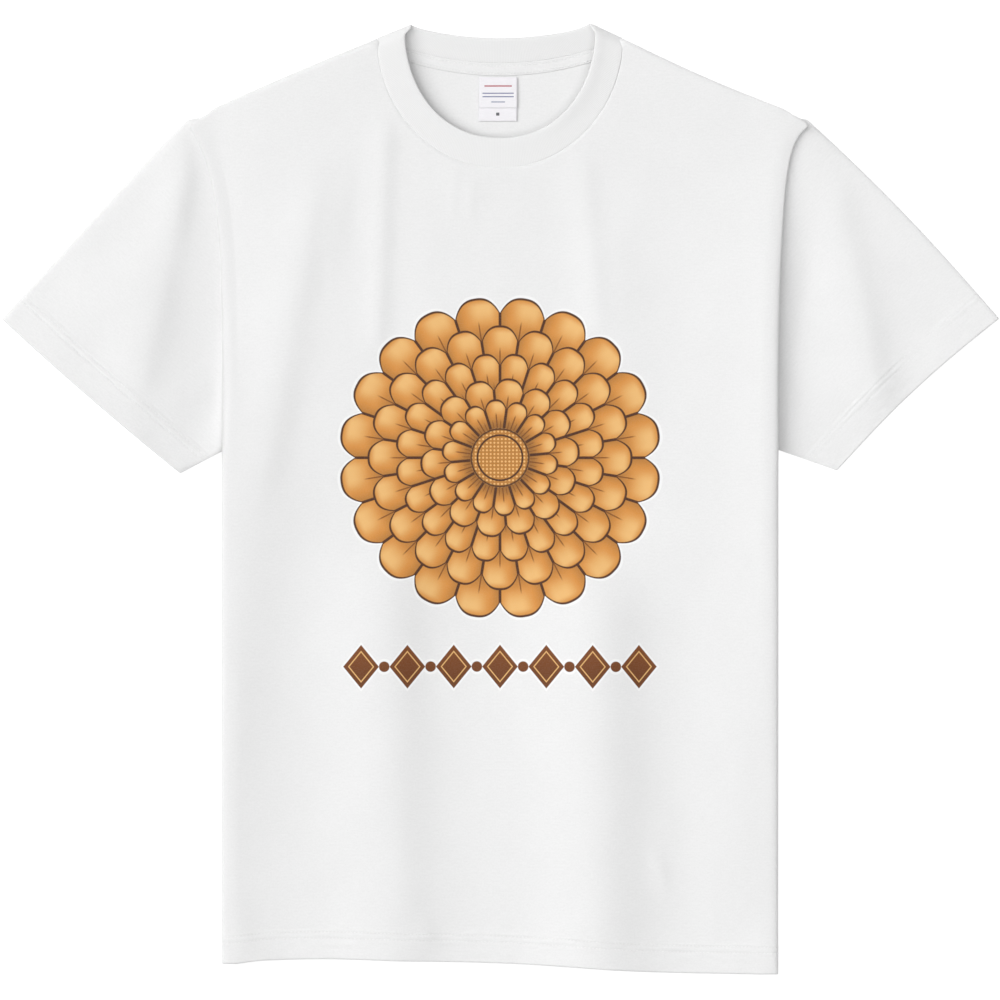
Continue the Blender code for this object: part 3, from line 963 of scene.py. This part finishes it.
class SHIRT_OT_back(bpy.types.Operator):
    """Lays the back panel flat on the floor"""

    bl_idname = "shirt.back"
    bl_label = "Back"

    def execute(self, context):
        cell = context.scene.shirt_cloth.cell / MM
        u = np.linspace(0, 1, round(430 / cell))
        hem = np.linspace(0, 26, 21) / 700
        rows = np.concatenate((hem, np.linspace(hem[-1], 1, round(680 / cell))[1:]))
        columns, v = np.meshgrid(u, rows)
        points = back_surface(columns, v)
        distance = points[..., 1] - hem_y(points[..., 0])
        points[..., 2] -= 0.3 * sum(bell(distance - row, 0.9) for row in HEM_ROWS)
        back = grid_piece("shirt_back", points, points[..., :2], CLOTH)
        dress(back, ("White jersey",), "body_back")
        return {"FINISHED"}


class SHIRT_OT_sleeves(bpy.types.Operator):
    """Lays the two sleeves, with their folds and their turned-up hems"""

    bl_idname = "shirt.sleeves"
    bl_label = "Sleeves"

    def execute(self, context):
        sizes = context.scene.shirt_cloth
        width, turn = sizes.cuff_width / MM, sizes.turn / MM * 0.9
        for side, name in ((-1, "left"), (1, "right")):
            surface, reach = sleeve_surface(side, sizes.unevenness / MM)
            u = np.linspace(0, 1, 181)
            length = reach(u)
            hem = hem_rows(width, turn)
            rest = np.linspace(1, 0, 52)[1:] ** 1.15
            above_hem = length - rest[:, None] * (length - hem[-1, 0])
            distance = np.concatenate((hem[:, :1] + 0 * length, above_hem))[::-1]
            depth = np.concatenate((hem[:, 1], np.zeros(len(rest))))[::-1, None] + 0 * distance
            columns, v = u[None] + 0 * distance, 1 - distance / length
            proud = hem_relief(distance, depth, CUFF_ROWS, width)
            flat = surface(columns, v)
            puckers = sizes.pucker / MM * ripple(flat[..., 1], distance * 2.2, 8, 6)
            puckers = puckers * (1 - ease(28, 38, distance))
            points = below(surface, columns, v, depth - (proud + puckers) * ease(3, 8, flat[..., 2]))
            points[:, -1] = points[:, 0]
            around = arc_lengths(flat[flat.shape[0] // 2])
            chart = np.stack((around[None] + 0 * v, np.where(depth > 0, distance, -distance)), -1)
            sleeve = grid_piece("sleeve_cloth_" + name, points, chart, sizes.thickness / MM)
            dress(sleeve, ("White jersey",), "sleeve_" + name)
        return {"FINISHED"}


class SHIRT_OT_neckband(bpy.types.Operator):
    """Sews on the ribbed neckband, which turns over at the shoulders"""

    bl_idname = "shirt.neckband"
    bl_label = "Neckband"

    def execute(self, context):
        u = np.linspace(0, 1, 481)
        columns, v, depth = spread(strip_profile(BAND, 0.025, 11, 0.08), u)
        points = below(band_surface, columns, v, depth)
        points[:, -1] = points[:, 0]
        around = arc_lengths(band_surface(u, 0.5 + 0 * u))
        # The inner face has its own place on the cloth map
        chart = np.stack((around[None] + 0 * v, v * BAND_WIDTH + 40 * (depth > BAND / 2)), -1)
        band = grid_piece("neckband", points, chart)
        dress(band, ("White rib",), "collar")
        return {"FINISHED"}


class SHIRT_OT_tape(bpy.types.Operator):
    """Sews the tape over the back neck seam"""

    bl_idname = "shirt.tape"
    bl_label = "Neck tape"

    def execute(self, context):
        columns, v, depth = spread(strip_profile(TAPE_CLOTH, 0.08, 13), np.linspace(0, 1, 97))
        groove = TAPE_GROOVE * sum(bell(v - row, 0.045) for row in TAPE_ROWS) * (depth < 0.1)
        points = below(tape_surface, columns, v, depth + groove)
        chart = np.stack((points[..., 0], v * TAPE_WIDTH + 20 * (depth > TAPE_CLOTH / 2)), -1)
        tape = grid_piece("neck_tape_cloth", points, chart, capped=True)
        dress(tape, ("White jersey",), "neck_tape")
        return {"FINISHED"}


class SHIRT_OT_labels(bpy.types.Operator):
    """Hangs the label and the size label below the tape"""

    bl_idname = "shirt.labels"
    bl_label = "Labels"

    def execute(self, context):
        for replaced, material in (("label", "Woven label"), ("size_label", "Woven size label")):
            sizes = LABELS[replaced]
            columns, v, depth = spread(strip_profile(0.6, 0.02, 12), np.linspace(0, 1, 25))
            points = below(label_surface(sizes), columns, v, depth)
            chart = np.stack((points[..., 0] - sizes["x"], (v - 0.5) * sizes["height"]), -1)
            label = grid_piece("woven_" + replaced, points, chart, capped=True)
            dress(label, (material,), replaced)
        return {"FINISHED"}


def stitch_tree(material):
    """Nodes that lay short threads along the edges of a mesh."""
    tree = bpy.data.node_groups.new("Stitch rows", "GeometryNodeTree")
    tree.interface.new_socket("Geometry", in_out="INPUT", socket_type="NodeSocketGeometry")
    tree.interface.new_socket("Geometry", in_out="OUTPUT", socket_type="NodeSocketGeometry")
    for name in ("Pitch", "Length", "Thread", "Wander"):
        tree.interface.new_socket(name, in_out="INPUT", socket_type="NodeSocketFloat")

    def add(kind, result, sockets=None, **settings):
        node = tree.nodes.new(kind)
        for key, value in settings.items():
            setattr(node, key, value)
        for key, value in (sockets or {}).items():
            if isinstance(value, bpy.types.NodeSocket):
                tree.links.new(value, node.inputs[key])
            else:
                node.inputs[key].default_value = value
        return node.outputs[result]

    given = tree.nodes.new("NodeGroupInput").outputs
    rows = add("GeometryNodeMeshToCurve", "Curve", {"Mesh": given["Geometry"]})
    evenly = {"Curve": rows, "Length": given["Pitch"]}
    rows = add("GeometryNodeResampleCurve", "Curve", evenly, mode="LENGTH")
    tangent = add("GeometryNodeInputTangent", "Tangent")
    aim = add("FunctionNodeAlignRotationToVector", "Rotation", {"Vector": tangent}, axis="X")
    thread = add("GeometryNodeMeshUVSphere", "Mesh", {"Segments": 6, "Rings": 5, "Radius": 0.5})
    lying = {"Geometry": thread, "Rotation": (0.0, math.pi / 2, 0.0)}
    thread = add("GeometryNodeTransform", "Geometry", lying)
    size = {"X": given["Length"], "Y": given["Thread"], "Z": given["Thread"]}
    size = add("ShaderNodeCombineXYZ", "Vector", size)
    thread = add("GeometryNodeTransform", "Geometry", {"Geometry": thread, "Scale": size})
    thread = add("GeometryNodeSetShadeSmooth", "Geometry", {"Geometry": thread})
    placed = {"Points": rows, "Instance": thread, "Rotation": aim}
    copies = add("GeometryNodeInstanceOnPoints", "Instances", placed)
    least = add("ShaderNodeMath", "Value", {0: given["Wander"], 1: -1.0}, operation="MULTIPLY")
    limits = {"Min": least, "Max": given["Wander"], "Seed": 7}
    stray = add("FunctionNodeRandomValue", "Value", limits, data_type="FLOAT")
    angle = add("ShaderNodeCombineXYZ", "Vector", {"Z": stray})
    turned = {"Instances": copies, "Rotation": angle}
    copies = add("GeometryNodeRotateInstances", "Instances", turned)
    mesh = add("GeometryNodeRealizeInstances", "Geometry", {"Geometry": copies})
    mesh = add("GeometryNodeSetMaterial", "Geometry", {"Geometry": mesh, "Material": material})
    tree.links.new(mesh, tree.nodes.new("NodeGroupOutput").inputs["Geometry"])
    return tree


def sew(name, tree, rows, values):
    """A plain mesh of the stitches along rows of points in millimetres."""
    points = np.concatenate(rows)
    edges, start = [], 0
    for row in rows:
        edges += [(start + i, start + i + 1) for i in range(len(row) - 1)]
        start += len(row)
    mesh = bpy.data.meshes.new(name + " path")
    mesh.from_pydata((points * MM).tolist(), edges, [])
    path = bpy.data.objects.new(name + " path", mesh)
    collection().objects.link(path)
    nodes = path.modifiers.new("Stitches", "NODES")
    nodes.node_group = tree
    for item in tree.interface.items_tree:
        if item.item_type == "SOCKET" and item.in_out == "INPUT" and item.name in values:
            nodes[item.identifier] = values[item.name]
    seen = path.evaluated_get(bpy.context.evaluated_depsgraph_get())
    result = bpy.data.meshes.new_from_object(seen)
    result.name = name
    bpy.data.objects.remove(path)
    stitches = bpy.data.objects.new(name, result)
    collection().objects.link(stitches)
    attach(stitches, "root")
    return stitches


class SHIRT_OT_stitching(bpy.types.Operator):
    """Sews the double rows of the hems, and the rows along the neck tape"""

    bl_idname = "shirt.stitching"
    bl_label = "Stitching"

    def execute(self, context):
        sizes, cloth = context.scene.shirt_stitches, context.scene.shirt_cloth
        tree = stitch_tree(bpy.data.materials["White thread"])
        values = {name.title(): getattr(sizes, name) for name in ("pitch", "length", "thread", "wander")}

        surface = front_surface(cloth.unevenness / MM)
        past = np.linspace(0, 0.35, 8)[1:]  # the rows run on round the rolled sides
        u = np.concatenate((-past[::-1], np.linspace(0, 1, 141), 1 + past))
        length = panel_length(FRONT_EDGES, u)
        rows = [below(surface, u, distance / length, 0 * u - STITCH_RISE) for distance in HEM_ROWS]
        sew("hem_stitches", tree, rows, values)

        x = np.linspace(-196, 196, 99)
        rows = [
            np.stack((x, hem_y(x) + distance, np.full(len(x), CLOTH + 0.3)), -1) for distance in HEM_ROWS
        ]
        sew("back_hem_stitches", tree, rows, values)

        u = np.linspace(0, 1, 241)
        for side, name in ((-1, "left"), (1, "right")):
            surface, reach = sleeve_surface(side, cloth.unevenness / MM)
            rows = []
            for distance in CUFF_ROWS:
                v = 1 - distance / reach(u)
                depth = mix(0.35, -STITCH_RISE, ease(3, 8, surface(u, v)[..., 2]))
                rows.append(below(surface, u, v, depth))
            sew("cuff_stitches_" + name, tree, rows, values)

        u = np.linspace(0.005, 0.995, 90)
        rows = [below(tape_surface, u, v + 0 * u, 0 * u) for v in TAPE_ROWS]
        sew("tape_stitches", tree, rows, {**values, **TAPE_STITCH})
        return {"FINISHED"}


class SHIRT_OT_stage(bpy.types.Operator):
    """Sets up the floor, the soft light and the camera straight above"""

    bl_idname = "shirt.stage"
    bl_label = "Stage"

    def execute(self, context):
        settings, scene = context.scene.shirt_stage, context.scene
        mesh = bpy.data.meshes.new("floor")
        mesh.from_pydata([(-3, -3, 0), (3, -3, 0), (3, 3, 0), (-3, 3, 0)], [], [(0, 1, 2, 3)])
        floor = bpy.data.objects.new("floor", mesh)
        scene.collection.objects.link(floor)
        recipe = Recipe("Pale floor")
        white = (1.0, 1.0, 1.0, 1.0)
        recipe.finish(
            Base_Color=(0.25, 0.25, 0.25, 1.0), Roughness=0.9, Emission_Color=white, Emission_Strength=0.85
        )
        mesh.materials.append(recipe.material)

        key_turn = (0.0, settings.key_height - math.pi / 2, math.radians(-20))
        suns = (
            ("key", settings.key, settings.key_softness, key_turn),
            ("overhead", settings.overhead, math.radians(60), (0.0, 0.0, 0.0)),
        )
        for name, strength, softness, turn in suns:
            lamp = bpy.data.lights.new(name, "SUN")
            lamp.energy, lamp.angle = strength, softness
            sun = bpy.data.objects.new(name, lamp)
            sun.rotation_euler = turn
            scene.collection.objects.link(sun)
        world = bpy.data.worlds.new("soft fill")
        world.use_nodes = True
        background = world.node_tree.nodes["Background"]
        background.inputs["Color"].default_value = white
        background.inputs["Strength"].default_value = settings.fill
        scene.world = world

        # From far above, a little below the middle of the shirt
        data = bpy.data.cameras.new("camera")
        data.lens, data.sensor_width = 300.0, 36.0
        camera = bpy.data.objects.new("camera", data)
        camera.location = (0.0, -0.0008, settings.width * data.lens / data.sensor_width + 0.015)
        scene.collection.objects.link(camera)
        scene.camera = camera
        scene.view_settings.view_transform = "Standard"
        return {"FINISHED"}


STEPS = (
    SHIRT_OT_finishes,
    SHIRT_OT_stage,
    SHIRT_OT_back,
    SHIRT_OT_sleeves,
    SHIRT_OT_front,
    SHIRT_OT_neckband,
    SHIRT_OT_tape,
    SHIRT_OT_labels,
    SHIRT_OT_stitching,
)
GROUPS = {
    "shirt_cloth": ClothSizes,
    "shirt_stitches": StitchSizes,
    "shirt_print": PrintSizes,
    "shirt_colours": Colours,
    "shirt_stage": StageSettings,
}


class SHIRT_PT_panel(bpy.types.Panel):
    """The steps that build the T-shirt, and its sizes and colours"""

    bl_idname = "SHIRT_PT_panel"
    bl_label = "T-shirt"
    bl_space_type = "VIEW_3D"
    bl_region_type = "UI"
    bl_category = "T-shirt"

    def draw(self, context):
        for step in STEPS:
            self.layout.operator(step.bl_idname)
        for name, group in GROUPS.items():
            box = self.layout.box()
            for field in group.__annotations__:
                box.prop(getattr(context.scene, name), field)


def register():
    for group in (*GROUPS.values(), *STEPS, SHIRT_PT_panel):
        bpy.utils.register_class(group)
    for name, group in GROUPS.items():
        setattr(bpy.types.Scene, name, bpy.props.PointerProperty(type=group))


def unregister():
    for name in GROUPS:
        delattr(bpy.types.Scene, name)
    for group in (SHIRT_PT_panel, *reversed(STEPS), *reversed(GROUPS.values())):
        bpy.utils.unregister_class(group)


def main():
    register()
    for step in STEPS:
        family, name = step.bl_idname.split(".")
        getattr(getattr(bpy.ops, family), name)()


if __name__ == "__main__":
    main()
